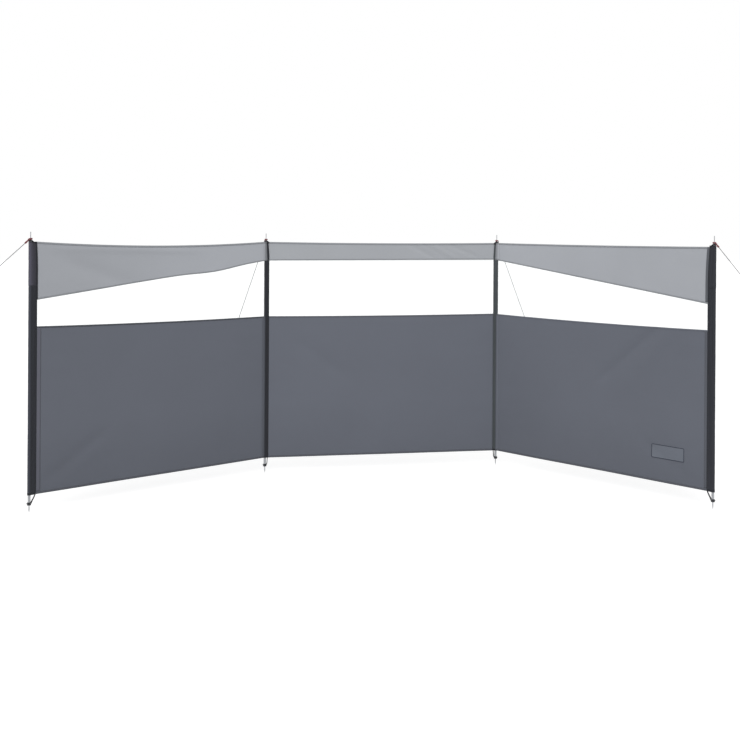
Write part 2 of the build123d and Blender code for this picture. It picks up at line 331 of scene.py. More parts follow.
# %% Drift of tone
tone_group, given, result = new_group(
    "Dyed cloth tone",
    [("Vector", "V"), ("Height", "F"), ("Amount", "F"), ("Dirt", "F")], [("Tone", "F")],
)
drift = tone_group.nodes.new("ShaderNodeTexNoise")
drift.inputs["Scale"].default_value = 2.2
drift.inputs["Detail"].default_value = 3
tone_group.links.new(given.outputs["Vector"], drift.inputs["Vector"])
centred = math_node(tone_group, "SUBTRACT", drift.outputs["Fac"], 0.5)
swing = math_node(tone_group, "MULTIPLY", centred, given.outputs["Amount"])
low = tone_group.nodes.new("ShaderNodeMapRange")
low.inputs["From Min"].default_value = 0.45
low.inputs["From Max"].default_value = 0.05
tone_group.links.new(given.outputs["Height"], low.inputs["Value"])
dirt = math_node(tone_group, "MULTIPLY", low.outputs["Result"], given.outputs["Dirt"])
bright = math_node(tone_group, "ADD", swing, 1.0)
tone_group.links.new(math_node(tone_group, "SUBTRACT", bright, dirt), result.inputs["Tone"])
print(tone_group.name, "has", len(tone_group.nodes), "nodes")

# %% Painted fold shade streaks
fold_shade_group, given, result = new_group(
    "Rubbed streaks", [("Vector", "V"), ("Amount", "F")], [("Tone", "F")]
)
stretched = fold_shade_group.nodes.new("ShaderNodeMapping")
stretched.inputs["Scale"].default_value = (70, 1.6, 1)
fold_shade_group.links.new(given.outputs["Vector"], stretched.inputs["Vector"])
streak = fold_shade_group.nodes.new("ShaderNodeTexNoise")
streak.inputs["Scale"].default_value = 1.0
streak.inputs["Detail"].default_value = 2
fold_shade_group.links.new(stretched.outputs["Vector"], streak.inputs["Vector"])
centred = math_node(fold_shade_group, "SUBTRACT", streak.outputs["Fac"], 0.5)
fold_shade = math_node(fold_shade_group, "MULTIPLY", centred, given.outputs["Amount"])
fold_shade_group.links.new(math_node(fold_shade_group, "ADD", fold_shade, 1.0), result.inputs["Tone"])
print(fold_shade_group.name, "has", len(fold_shade_group.nodes), "nodes")

# %% Plaited cord
plait_group, given, result = new_group(
    "Plaited cord", [("Vector", "V"), ("Turns", "F")], [("Height", "F"), ("Tone", "F")]
)
split = plait_group.nodes.new("ShaderNodeSeparateXYZ")
plait_group.links.new(given.outputs["Vector"], split.inputs[0])
along = math_node(plait_group, "MULTIPLY", split.outputs["X"], given.outputs["Turns"])
around = math_node(plait_group, "MULTIPLY", split.outputs["Y"], given.outputs["Turns"])
rising = math_node(plait_group, "SINE", math_node(plait_group, "ADD", along, around))
falling = math_node(plait_group, "SINE", math_node(plait_group, "SUBTRACT", along, around))
height = math_node(plait_group, "MAXIMUM", rising, falling)
plait_group.links.new(height, result.inputs["Height"])
shade = math_node(plait_group, "MULTIPLY_ADD", height, 0.12, 0.88)
plait_group.links.new(shade, result.inputs["Tone"])
print(plait_group.name, "has", len(plait_group.nodes), "nodes")

# %% [markdown]
# ## Cloth and cord finishes
#
# A proofed polyester is dull and slightly sheened. Its colour is one plain
# value, multiplied by the weave and the drift. Threads are far too fine to
# model, so the weave lifts the surface through a Bump node instead. Where
# light falls unevenly across a cloth, one more tone fades across its width:
# painted light and shade. Roughness and sheen are set on the shader itself,
# because they are the same all over the cloth.

# %% Material helpers
def shader_of(material):
    return material.node_tree.nodes["Principled BSDF"]


def add_group(tree, group, links=(), values=()):
    node = tree.nodes.new("ShaderNodeGroup")
    node.node_tree = group
    for socket, source in links:
        tree.links.new(source, node.inputs[socket])
    for socket, value in values:
        node.inputs[socket].default_value = value
    return node


def tinted(tree, colour, *tones):
    """The colour times each tone, for Base Color."""
    source = None
    for tone in tones:
        mix = tree.nodes.new("ShaderNodeMix")
        mix.data_type = "RGBA"
        mix.blend_type = "MULTIPLY"
        mix.inputs["Factor"].default_value = 1.0
        if source is None:
            mix.inputs[6].default_value = colour
        else:
            tree.links.new(source, mix.inputs[6])
        tree.links.new(tone, mix.inputs[7])
        source = mix.outputs[2]
    return source


def lift(tree, height, distance, strength):
    bump = tree.nodes.new("ShaderNodeBump")
    bump.inputs["Distance"].default_value = distance
    bump.inputs["Strength"].default_value = strength
    tree.links.new(height, bump.inputs["Height"])
    return bump.outputs["Normal"]


# %% Cloth finish
def cloth_finish(name, colour, threads=1500, drift_amount=0.10, dirt=0.0, sheen=0.15,
                 roughness=0.85, streaks=0.0, painted_shading=None):
    """Woven cloth, with its threads per metre.

    painted_shading is (middle, far, near, plain tone, painted tone): painted
    light and shade across the cloth. The tone is plain from far metres beside
    the middle on, and painted up to near metres.
    """
    material = bpy.data.materials.new(name)
    material.use_nodes = True
    tree, shader = material.node_tree, shader_of(material)
    uv = tree.nodes.new("ShaderNodeUVMap")
    uv.uv_map = "cloth"
    place = tree.nodes.new("ShaderNodeTexCoord")
    where = tree.nodes.new("ShaderNodeSeparateXYZ")
    tree.links.new(place.outputs["Object"], where.inputs[0])
    weave = add_group(tree, weave_group, [("Vector", uv.outputs["UV"])], [("Threads", threads)])
    tone = add_group(
        tree, tone_group,
        [("Vector", place.outputs["Object"]), ("Height", where.outputs["Z"])],
        [("Amount", drift_amount), ("Dirt", dirt)],
    )
    tones = [weave.outputs["Tone"], tone.outputs["Tone"]]
    # streaks of painted shade, standing in for a sleeve's small folds
    if streaks:
        rub_and_fold_shade = add_group(tree, fold_shade_group, [("Vector", uv.outputs["UV"])], [("Amount", streaks)])
        tones.append(rub_and_fold_shade.outputs["Tone"])
    # painted light and shade: one more tone across the cloth's width
    if painted_shading:
        middle = painted_shading[0]
        across = tree.nodes.new("ShaderNodeSeparateXYZ")
        tree.links.new(uv.outputs["UV"], across.inputs[0])
        offset = math_node(tree, "SUBTRACT", across.outputs["X"], middle)
        aside = math_node(tree, "ABSOLUTE", offset)
        painted_tone = tree.nodes.new("ShaderNodeMapRange")
        painted_tone.interpolation_type = "SMOOTHSTEP"
        tree.links.new(aside, painted_tone.inputs["Value"])
        for socket, value in zip(("From Min", "From Max", "To Min", "To Max"), painted_shading[1:]):
            painted_tone.inputs[socket].default_value = value
        tones.append(painted_tone.outputs["Result"])
    tree.links.new(tinted(tree, colour, *tones), shader.inputs["Base Color"])
    tree.links.new(lift(tree, weave.outputs["Height"], 0.0002, 0.5), shader.inputs["Normal"])
    shader.inputs["Roughness"].default_value = roughness
    shader.inputs["Sheen Weight"].default_value = sheen
    shader.inputs["Specular IOR Level"].default_value = 0.25
    return material


# %% Dark and light cloths
DIRT = 0.10  # on the dark cloths, which reach the ground
DARK, DARK_HEM = paint(108, 112, 122), paint(96, 99, 107)
LIGHT, LIGHT_HEM = paint(176, 179, 185), paint(152, 155, 160)
dark_cloth = cloth_finish("dark proofed cloth", DARK, dirt=DIRT)
PANEL_CLOTH_SHADED = {
    # the left panel is painted darker close to its inner pole: painted shade where it curves in to
    # the pole
    "left": cloth_finish("left dark cloth", DARK, dirt=DIRT,
                         painted_shading=(SPAN, 0.040, 0.012, 1.0, 0.78)),
    "centre": dark_cloth,
    "right": dark_cloth,
}
dark_hem = cloth_finish("dark hem", DARK_HEM, dirt=DIRT)
# painted shade: the left bay's panel hem, darker than the others
shaded_hem = cloth_finish("deep dark hem", paint(78, 81, 88), dirt=DIRT)
side_cloth = cloth_finish("left side hem", paint(106, 107, 118), dirt=DIRT)
# painted shade: the right side hem is darker, beside the right outer sleeve
shaded_side = cloth_finish("right side hem", paint(95, 98, 106), dirt=DIRT)
BAND_CLOTH_LIT = {
    # both outer bands are painted a little lighter towards the inner poles: painted light
    "left": cloth_finish("left light cloth", LIGHT, painted_shading=(SPAN, 1.60, 0.10, 0.97, 1.085)),
    "centre": cloth_finish("centre light cloth", paint(174, 177, 182)),
    "right": cloth_finish("right light cloth", LIGHT, painted_shading=(0.0, 1.30, 0.10, 1.0, 1.055)),
}
light_hem = cloth_finish("light hem", LIGHT_HEM)
print("light cloths:", [finish.name for finish in BAND_CLOTH_LIT.values()])


# %% Sleeve, patch and webbing cloths
def sleeve_finish(name, colour, sheen=0.1, roughness=0.6, streaks=0.9, painted_shading=None):
    """The sleeves' smoother cloth, with streaks of painted fold shade."""
    return cloth_finish(name, colour, drift_amount=0.2, sheen=sheen, roughness=roughness,
                        streaks=streaks, painted_shading=painted_shading)


SLEEVE_BLACK = paint(42, 44, 51)
OUTER_RIDGE = 0.0598  # half-way round an outer pocket, where the cloth lies on the pole
sleeve_cloth = sleeve_finish("sleeve cloth", SLEEVE_BLACK)
# the sleeves are one cloth: painted shade darkens the inner left one, painted light lightens the
# inner right one
shaded_sleeve = sleeve_finish("deep sleeve cloth", paint(34, 36, 42))
lit_sleeve = sleeve_finish("faded sleeve cloth", paint(66, 71, 74), streaks=0.7)
# painted highlight along the pole side of the left outer sleeve, slight painted shade elsewhere
highlit_sleeve = sleeve_finish("left sleeve cloth", SLEEVE_BLACK,
                              painted_shading=(OUTER_RIDGE, 0.026, 0.003, 0.88, 2.2))
# the left lap's tone: painted highlight on its pole side, painted shade towards its seam
sleeve_lap = sleeve_finish("sleeve lap", paint(66, 65, 77), 0.2, 0.45, 0.5,
                           (OUTER_RIDGE, 0.050, 0.008, 0.55, 1.4))
sleeve_hem = cloth_finish("sleeve hem", paint(38, 40, 46), drift_amount=0.2)
# mid-grey painted shade in the fold beside the right outer seam
seam_shade_cloth = cloth_finish("seam binding", paint(98, 101, 107), threads=1100, streaks=0.4)
patch_cloth = cloth_finish("patch cloth", paint(114, 119, 129), threads=900)
patch_edge = cloth_finish("patch edging", paint(54, 58, 70), threads=700)
webbing = cloth_finish("black webbing", paint(44, 43, 48), threads=500)
print("cloth finishes so far:", len(bpy.data.materials))


# %% Thread and cord finishes
def cord_finish(name, colour, turns):
    """Plaited cord or twisted thread, with its turns per metre."""
    material = bpy.data.materials.new(name)
    material.use_nodes = True
    tree, shader = material.node_tree, shader_of(material)
    uv = tree.nodes.new("ShaderNodeUVMap")
    uv.uv_map = "cloth"
    plait = add_group(tree, plait_group, [("Vector", uv.outputs["UV"])], [("Turns", turns)])
    tree.links.new(tinted(tree, colour, plait.outputs["Tone"]), shader.inputs["Base Color"])
    tree.links.new(lift(tree, plait.outputs["Height"], 0.0003, 0.6), shader.inputs["Normal"])
    shader.inputs["Roughness"].default_value = 0.7
    shader.inputs["Sheen Weight"].default_value = 0.2
    return material


grey_cord = cord_finish("grey guy cord", paint(120, 121, 123), 2600)
red_cord = cord_finish("red loop cord", paint(126, 46, 54), 2600)
elastic_cord = cord_finish("black elastic", paint(38, 39, 43), 3200)
dark_thread = cord_finish("dark thread", paint(66, 69, 78), 9000)
light_thread = cord_finish("light thread", paint(134, 137, 142), 9000)
print("finishes so far:", len(bpy.data.materials))

# %% [markdown]
# ## Clear film
#
# The window is a soft, clear sheet. A glass shader would bend what lies
# behind it, as a thick pane does, so this sheet is made clear by a low Alpha
# instead. Alpha grows where the sheet is seen edge on: its real reflection
# shows more there, and its white colour adds a painted reflection. Faint
# storage creases lift the surface just enough to break up its reflections.

# %% Film finish
film = bpy.data.materials.new("clear film")
film.use_nodes = True
tree, shader = film.node_tree, shader_of(film)
shader.inputs["Base Color"].default_value = paint(246, 255, 255)
shader.inputs["Specular IOR Level"].default_value = 0.6
edge_on = tree.nodes.new("ShaderNodeLayerWeight")
edge_on.inputs["Blend"].default_value = 0.25
# partly painted reflection: the white film grows opaque where seen edge on
alpha = math_node(tree, "MULTIPLY_ADD", edge_on.outputs["Facing"], 0.22, 0.07)
tree.links.new(alpha, shader.inputs["Alpha"])
place = tree.nodes.new("ShaderNodeTexCoord")
ripple = tree.nodes.new("ShaderNodeTexNoise")
ripple.inputs["Scale"].default_value = 9.0
ripple.inputs["Detail"].default_value = 2
tree.links.new(place.outputs["Object"], ripple.inputs["Vector"])
tree.links.new(lift(tree, ripple.outputs["Fac"], 0.004, 0.35), shader.inputs["Normal"])
smear = math_node(tree, "MULTIPLY_ADD", ripple.outputs["Fac"], 0.12, 0.06)
tree.links.new(smear, shader.inputs["Roughness"])
print(film.name, "has", len(tree.nodes), "nodes")

# %% [markdown]
# ## Steel and moulded plastic
#
# The poles, spikes and pegs are zinc-bright steel that has been pushed into
# sand many times: a metal with a fine grain along the pole, and rubbed,
# slightly darker patches. The feet and runners are black moulded plastic
# with a fine grained skin. Both patterns are noise on Object coordinates,
# drawn out along the pole by a Mapping node for the steel, so that nothing
# has to be unwrapped.

# %% Steel finish
def steel_finish(name, colour, roughness):
    material = bpy.data.materials.new(name)
    material.use_nodes = True
    tree, shader = material.node_tree, shader_of(material)
    place = tree.nodes.new("ShaderNodeTexCoord")
    grain_place = tree.nodes.new("ShaderNodeMapping")
    grain_place.inputs["Scale"].default_value = (900, 900, 12)
    tree.links.new(place.outputs["Object"], grain_place.inputs["Vector"])
    grain = tree.nodes.new("ShaderNodeTexNoise")
    grain.inputs["Scale"].default_value = 1.0
    tree.links.new(grain_place.outputs["Vector"], grain.inputs["Vector"])
    rub_and_fold_shade = tree.nodes.new("ShaderNodeTexNoise")
    rub_and_fold_shade.inputs["Scale"].default_value = 14.0
    rub_and_fold_shade.inputs["Detail"].default_value = 5
    tree.links.new(place.outputs["Object"], rub_and_fold_shade.inputs["Vector"])
    tone = math_node(tree, "MULTIPLY_ADD", rub_and_fold_shade.outputs["Fac"], 0.3, 0.84)
    tree.links.new(tinted(tree, colour, tone), shader.inputs["Base Color"])
    rough = math_node(tree, "MULTIPLY_ADD", rub_and_fold_shade.outputs["Fac"], 0.25, roughness)
    tree.links.new(rough, shader.inputs["Roughness"])
    tree.links.new(lift(tree, grain.outputs["Fac"], 0.0001, 0.3), shader.inputs["Normal"])
    shader.inputs["Metallic"].default_value = 1.0
    return material


pole_steel = steel_finish("pole steel", paint(164, 166, 169), 0.30)
peg_steel = steel_finish("peg steel", paint(172, 174, 178), 0.34)
black_steel = steel_finish("blackened eyelet", paint(70, 70, 74), 0.42)
print("steels:", pole_steel.name, peg_steel.name, black_steel.name)


# %% Plastic finish
def plastic_finish(name, colour, roughness):
    material = bpy.data.materials.new(name)
    material.use_nodes = True
    tree, shader = material.node_tree, shader_of(material)
    place = tree.nodes.new("ShaderNodeTexCoord")
    skin = tree.nodes.new("ShaderNodeTexNoise")
    skin.inputs["Scale"].default_value = 1800.0
    tree.links.new(place.outputs["Object"], skin.inputs["Vector"])
    scuffs = tree.nodes.new("ShaderNodeTexNoise")
    scuffs.inputs["Scale"].default_value = 90.0
    scuffs.inputs["Detail"].default_value = 4
    tree.links.new(place.outputs["Object"], scuffs.inputs["Vector"])
    tone = math_node(tree, "MULTIPLY_ADD", scuffs.outputs["Fac"], 0.5, 0.75)
    tree.links.new(tinted(tree, colour, tone), shader.inputs["Base Color"])
    tree.links.new(lift(tree, skin.outputs["Fac"], 0.0001, 0.4), shader.inputs["Normal"])
    shader.inputs["Roughness"].default_value = roughness
    return material


foot_plastic = plastic_finish("foot plastic", paint(44, 45, 50), 0.5)
runner_plastic = plastic_finish("runner plastic", paint(36, 37, 40), 0.42)

# %% Finishes on the fixed parts
FINISHES = {"pole": pole_steel, "spike": pole_steel, "peg": peg_steel,
            "foot": foot_plastic, "guy_runner": runner_plastic}
for pole in SLEEVES:
    for part, finish in FINISHES.items():
        node = bpy.data.objects[f"{pole}_{part}"]
        node.data.materials.clear()
        node.data.materials.append(finish)
print("finished", len(SLEEVES) * len(FINISHES), "fixed parts")

# %% [markdown]
# ## Sheets from one rolled or bent grid
#
# Every soft piece here is a grid. `rolled` starts from Blender's own grid,
# moves each corner to where a function says, and keeps the cloth's own
# coordinates, in metres, in a UV map. The same helper gives a flat panel, a
# hem folded over an edge, a pocket of cloth, or a cord, which is a narrow
# grid rolled up and welded along its seam.

# %% Grid helper
def rolled(name, columns, rows, place, space, finishes, thickness=0.0, choose=None):
    """A grid whose corner (u, v) goes to place(u, v) = (point, cloth coordinates).

    choose(u, v) picks a face's finish where there is more than one.
    """
    bm = bmesh.new()
    layer = bm.loops.layers.uv.new("cloth")
    bmesh.ops.create_grid(bm, x_segments=columns, y_segments=rows, size=0.5, calc_uvs=False)
    spots = {vert: place(vert.co.x + 0.5, vert.co.y + 0.5) for vert in bm.verts}
    for face in bm.faces:
        face.smooth = True
        if choose:
            middle = face.calc_center_median()
            face.material_index = choose(middle.x + 0.5, middle.y + 0.5)
        for loop in face.loops:
            loop[layer].uv = spots[loop.vert][1]
    for vert, (point, _) in spots.items():
        vert.co = point
    bmesh.ops.remove_doubles(bm, verts=bm.verts, dist=2e-6)
    bm.transform(space)
    bmesh.ops.recalc_face_normals(bm, faces=bm.faces)
    mesh = bpy.data.meshes.new(name)
    bm.to_mesh(mesh)
    bm.free()
    for finish in finishes if isinstance(finishes, tuple) else (finishes,):
        mesh.materials.append(finish)
    piece = bpy.data.objects.new(name, mesh)
    bpy.context.scene.collection.objects.link(piece)
    if thickness:
        skin = piece.modifiers.new("cloth thickness", "SOLIDIFY")
        skin.thickness = thickness
        skin.offset = 0.0
    return piece


def own(piece, body, slot, *nodes):
    """The piece rides on a body and stands for CAD nodes; slot is not used."""
    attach(piece, body)
    if nodes:
        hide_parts(*nodes)
    return piece


# %% [markdown]
# ## Lower panels, films and top bands
#
# The three layers of a bay meet edge to edge, sewn together by the hems that
# follow. A cloth simulation would only flatten them, since the poles hold
# the sheet tight, so the drape is placed through `Bay.back`.

# %% Panels
COLUMNS = 132  # of the grid, along a bay
PANEL_ROWS, FILM_ROWS, BAND_ROWS = 76, 30, 24


def ground_edge(u):
    """The lower edge is straight, so it is the same height for every u."""
    return FABRIC_LOW


def sheet_between(bay, low, high):
    """Points on a bay's cloth between two edges, each a height for every u."""
    def place(u, v):
        z = low(u) + v * (high(u) - low(u))
        x = bay.across(u, z)
        return Vector((x, bay.back(x, z), z)), (x, z)
    return place


sheets = {}
for bay in BAYS:
    sheets[bay.name] = (
        rolled(f"{bay.name}_panel_cloth", COLUMNS, PANEL_ROWS,
               sheet_between(bay, ground_edge, bay.panel_top),
               bay.space, PANEL_CLOTH_SHADED[bay.name], CLOTH),
        rolled(f"{bay.name}_film", COLUMNS, FILM_ROWS,
               sheet_between(bay, bay.panel_top, bay.band_low), bay.space, film, FILM),
        rolled(f"{bay.name}_band_cloth", COLUMNS, BAND_ROWS,
               sheet_between(bay, bay.band_low, bay.top),
               bay.space, BAND_CLOTH_LIT[bay.name], CLOTH),
    )
    panel, window, band = sheets[bay.name]
    own(panel, bay.body, "dark_fabric", f"{bay.name}_lower_panel")
    own(window, bay.body, "clear_film", f"{bay.name}_window")
    own(band, bay.body, "light_fabric", f"{bay.name}_top_band")
    print(bay.name, "cloth", round(bay.width(), 4), "m wide")

# %% [markdown]
# ## Hems
#
# A hem is a strip folded over the sheet's edge and stitched down, so it
# stands proud of the sheet and shows as a slightly darker line. A flat bar
# along the edge would look stiff, so a grid is bent into a hairpin instead:
# up the front, round the edge and down the back. It follows `Bay.back`, as
# the sheet does. One function makes all four hems of a bay, also the two that
# hold the film.

# %% Hems
HEM_STAND = 0.0011  # from the sheet's middle to a hem's
HEM_CLOTH = 0.0006
FOLD = 0.0008  # how far the fold stands past the sheet's edge


def hairpin(bay, edge, deep, up, name, finish):
    """A strip folded over an edge; up is 1 where the strip lies above the edge."""
    def place(u, v):
        turn = v * 2 - 1
        side = math.copysign(min(abs(math.sin(turn * math.pi / 2)) * 1.25, 1.0), turn)
        reach = max(abs(turn) * 1.12 - 0.12, 0.0) * deep
        z = edge(u) + up * reach - up * FOLD * (1 - abs(side))
        x = bay.across(u, z)
        return Vector((x, bay.back(x, z) + side * HEM_STAND, z)), (x, v * 2 * deep)
    return rolled(name, COLUMNS, 10, place, bay.space, finish, HEM_CLOTH)


BOTTOM_HEM, PANEL_TOP_HEM, BAND_HEM, TOP_HEM = 0.014, 0.009, 0.008, 0.011
HEMS = [
    # name, edge, depth, up or down, dark or light
    ("bottom", lambda bay: ground_edge, BOTTOM_HEM, 1, True),
    ("panel", lambda bay: bay.panel_top, PANEL_TOP_HEM, -1, True),
    ("band", lambda bay: bay.band_low, BAND_HEM, 1, False),
    ("top", lambda bay: bay.top, TOP_HEM, -1, False),
]
# the seam over the dark panel is painted darkest on the left bay and hardly on the right: painted
# shade, one hem toned to the light on each bay
PANEL_HEM_SHADE = {"left": shaded_hem, "centre": dark_hem, "right": dark_cloth}
hem_pieces = {bay.name: [] for bay in BAYS}
for bay in BAYS:
    for name, edge, deep, up, dark in HEMS:
        finish = PANEL_HEM_SHADE[bay.name] if name == "panel" else dark_hem if dark else light_hem
        hem = hairpin(bay, edge(bay), deep, up, f"{bay.name}_{name}_hem", finish)
        own(hem, bay.body, "dark_fabric" if dark else "light_fabric")
        hem_pieces[bay.name].append(hem)
print("hems:", sum(len(pieces) for pieces in hem_pieces.values()))

# %% [markdown]
# ## Cords
#
# A cord is a line with a round skin. The line comes from a NURBS spline of
# order 3 through a few points, as a hand would lay it, and the skin is the
# same grid as before, rolled round the line. The frame that turns the grid is
# carried along from point to point, so that the skin never twists.

# %% Cord helpers
def route(points, closed=False, resolution=6):
    """The smooth line that a spline draws from a cord's few points."""
    curve = bpy.data.curves.new("route", "CURVE")
    curve.dimensions = "3D"
    curve.resolution_u = resolution
    spline = curve.splines.new("NURBS")
    spline.points.add(len(points) - 1)
    for knot, point in zip(spline.points, points):
        knot.co = (*point, 1)
    spline.order_u = 3
    spline.use_endpoint_u = not closed
    spline.use_cyclic_u = closed
    holder = bpy.data.objects.new("route", curve)
    mesh = bpy.data.meshes.new_from_object(holder)
    line = [vert.co.copy() for vert in mesh.vertices]
    bpy.data.objects.remove(holder)
    bpy.data.meshes.remove(mesh)
    bpy.data.curves.remove(curve)
    return line


def length_of(line):
    return sum((line[i + 1] - line[i]).length for i in range(len(line) - 1))


def cord(name, line, radius, finish, space=Matrix.Identity(4), sides=10, closed=False):
    """A round skin along a line, with rounded ends where the line is open."""
    if closed:
        line = line + [line[0]]
        swell = [1.0] * len(line)
    else:
        start, end = (line[0] - line[1]).normalized(), (line[-1] - line[-2]).normalized()
        line = ([line[0] + start * radius * 0.6, line[0] + start * radius * 0.42] + line
                + [line[-1] + end * radius * 0.42, line[-1] + end * radius * 0.6])
        swell = [0.0, 0.7] + [1.0] * (len(line) - 4) + [0.7, 0.0]
    last = len(line) - 1
    frames, distance = [], 0.0
    for i, point in enumerate(line):
        before = line[last - 1] if closed and i == 0 else line[max(i - 1, 0)]
        after = line[1] if closed and i == last else line[min(i + 1, last)]
        along = (after - before).normalized()
        out = frames[-1][0] if frames else along.orthogonal()
        out = (out - along * out.dot(along)).normalized()
        distance += (point - line[i - 1]).length if i else 0.0
        frames.append((out, along.cross(out), distance))

    def place(u, v):
        i = round(u * last)
        out, beside, travelled = frames[i]
        turn = 2 * math.pi * v
        offset = (out * math.cos(turn) + beside * math.sin(turn)) * radius * swell[i]
        return line[i] + offset, (travelled, v * 2 * math.pi * radius)
    return rolled(name, last, sides, place, space, finish)


# %% [markdown]
# ## Stitching
#
# Each hem is held by a running stitch: one thread that goes over and under
# the cloth every seven millimetres. Separate stitches would be hundreds of
# pieces, and a dashed line in the finish would have no depth. So the thread
# is a single cord, whose line swings from the front to the back of the hem
# and lies flat in between.

# %% Stitches
STITCH = 0.014  # from one stitch on the front to the next
THREAD = 0.00045
THREAD_STAND = HEM_STAND + 0.0006
SEAM_INSET = 0.003  # from a hem's open edge to its stitches


def stitch_line(point_at, length, swing):
    """Points of a running stitch; point_at(distance, side) gives a place on the work."""
    count = int(length / STITCH) * 8
    line = []
    for i in range(count + 1):
        wave = math.sin(i / 8 * 2 * math.pi)
        line.append(point_at(i * length / count, max(-1, min(1, 1.6 * wave)) * swing))
    return line


for bay in BAYS:
    for name, edge, deep, up, dark in HEMS:
        level = edge(bay)

        def on_hem(distance, side):
            u = 0.003 + 0.994 * distance / bay.width()
            z = level(u) + up * (deep - SEAM_INSET)
            x = bay.across(u, z)
            return Vector((x, bay.back(x, z) + side, z))

        thread = cord(f"{bay.name}_{name}_stitch", stitch_line(on_hem, bay.width(), THREAD_STAND),
                      THREAD, dark_thread if dark else light_thread, bay.space, sides=5)
        own(thread, bay.body, "dark_fabric" if dark else "light_fabric")
        hem_pieces[bay.name].append(thread)
    print(bay.name, "stitches in a row:", int(bay.width() / STITCH))

# %% [markdown]
# ## Side hems
#
# Where a dark panel meets an outer sleeve it has a third hem, which runs up
# beside the seam from the bottom hem to the film. It is a flat strip on the
# front of the cloth, with one row of stitches. On the left bay its inner
# edge shows as a darker line. The strip's last faces take a second material
# for it, because a second strip beside the first could leave a gap.

# %% Side hems
SIDE_LOW = FABRIC_LOW + BOTTOM_HEM + 0.0005
SIDE_CLEAR = PANEL_TOP_HEM + 0.0005
SIDE_ROWS, SIDE_STAND, INNER_LINE = 90, 0.0010, 0.76


def beside_sleeve(bay, end, aside, z, stand_off):
    """A point on the cloth at a distance from the seam of the bay's outer sleeve."""
    x = bay.across(end, z) + (1 - 2 * end) * (SEWN_IN + 0.0005 + aside)
    return Vector((x, bay.back(x, z) + stand_off, z))


# on the right bay the strip's darker cloth is painted shade
for bay, end, breadth, finishes in ((BAYS[0], 0, 0.024, (side_cloth, dark_hem)),
                                    (BAYS[2], 1, 0.016, (shaded_side, shaded_side))):
    side_high = bay.panel_top(end) - SIDE_CLEAR

    def strip(u, v):
        z = SIDE_LOW + u * (side_high - SIDE_LOW)
        return beside_sleeve(bay, end, v * breadth, z, -SIDE_STAND), (v * breadth, z)

    def down_strip(distance, side):
        height = SIDE_LOW + SEAM_INSET + distance
        return beside_sleeve(bay, end, breadth - 0.004, height, side)

    hem = rolled(f"{bay.name}_side_hem", SIDE_ROWS, 8, strip, bay.space, finishes, HEM_CLOTH,
                 lambda u, v: int(v > INNER_LINE))
    down = stitch_line(down_strip, side_high - SIDE_LOW - 2 * SEAM_INSET, THREAD_STAND)
    thread = cord(f"{bay.name}_side_stitch", down, THREAD, dark_thread, bay.space, sides=5)
    [own(piece, bay.body, "dark_fabric") for piece in (hem, thread)]
    print(bay.name, "side hem", round(side_high - SIDE_LOW, 3), "m long")

# %% [markdown]
# ## How deep each band is
#
# Films and bands taper, so each band's mean depth is printed. Hems and
# threads are named with the sheet that they are sewn to.

for bay in BAYS:
    panel, window, band = sheets[bay.name]
    mean_depth, width = sum(bay.depths) / 2, bay.width()
    print(bay.name, "band: mean depth", round(mean_depth, 4), "m")
    FABRIC_TOP - PANEL_TOP - min(bay.depths)
    max(bay.depths)

# %% [markdown]
# ## Pole sleeves
#
# Each pocket follows its outline from the seam, along the front, round the
# pole and back to the seam. A smooth outline alone would look like a moulded
# tube, so a little noise along the surface makes the cloth loose on its pole.
# A folded hem closes each end. The outer sleeves have a second layer over
# their upper part, which stiffens the corner that the guy pulls on. Beside
# the light band, a strip over each outer seam stands for the shade in the
# seam's fold: painted shade, near-black on the left and mid-grey on the right.

# %% Pocket
HEM_LOOSE = 0.0002  # an end hem stays tight, clear of the cloth that swings past it
LAP_CORNER, CORNER_CUT = 0.030, 0.010  # height and breadth cut off a second layer's corner
SWELL, SWELL_DRIFT = 0.0016, 0.0010  # how far the flat walls bulge, and how much that varies
SEAM_PULL = 0.0006
LOOSE, CRUMPLED = 0.0007, 0.0004  # the cloth's slow and quick unevenness


def pocket(sleeve, low, high, rows, name, finish, stand_off=0.0, short=0.0):
    """A drop-shaped tube of cloth between two heights; short leaves its front open at the seam."""
    def place(u, v):
        z = low + u * (high - low)
        width, radius = sleeve.seam(z) + stand_off, sleeve.radius + stand_off
        tangent = math.acos(radius / width)
        flat, bow = width * math.sin(tangent), 2 * (math.pi - tangent) * radius
        corner = max((z - high + LAP_CORNER) / LAP_CORNER, 0) ** 2 * CORNER_CUT if short else 0
        run = short + corner + v * (2 * flat + bow - 2 * (short + corner))
        front = run <= flat + bow / 2
        run = run if front else 2 * flat + bow - run
        if run < flat:
            share = run / flat
            x = width + share * (radius * math.cos(tangent) - width)
            y = share * radius * math.sin(tangent)
            ridge = SWELL + SWELL_DRIFT * noise.noise(Vector((z * 4, sleeve.width * 50, 3)))
            swell = ridge * math.sin(math.pi * min(share * 1.5, 1))
            swell -= SEAM_PULL * math.exp(-((share * 9) ** 2))
            x, y = x + swell * math.cos(tangent), y + swell * math.sin(tangent)
        else:
            angle = tangent + (run - flat) / radius
            x, y = radius * math.cos(angle), radius * math.sin(angle)
        y = -y if front else y
        loose = LOOSE * noise.noise(Vector((x * 60, y * 60, z * 5 + sleeve.width * 99)))
        loose += CRUMPLED * noise.noise(Vector((x * 90, y * 90, z * 31)))
        if stand_off and not short:
            loose = min(loose, HEM_LOOSE)
        away = Vector((x - 0.4 * width, y, 0)).normalized() * loose * min(1, 40 * v, 40 - 40 * v)
        return Vector((x, y, z)) + away, (v * (2 * flat + bow), z)
    return rolled(name, rows, 44, place, sleeve.space, finish, CLOTH)


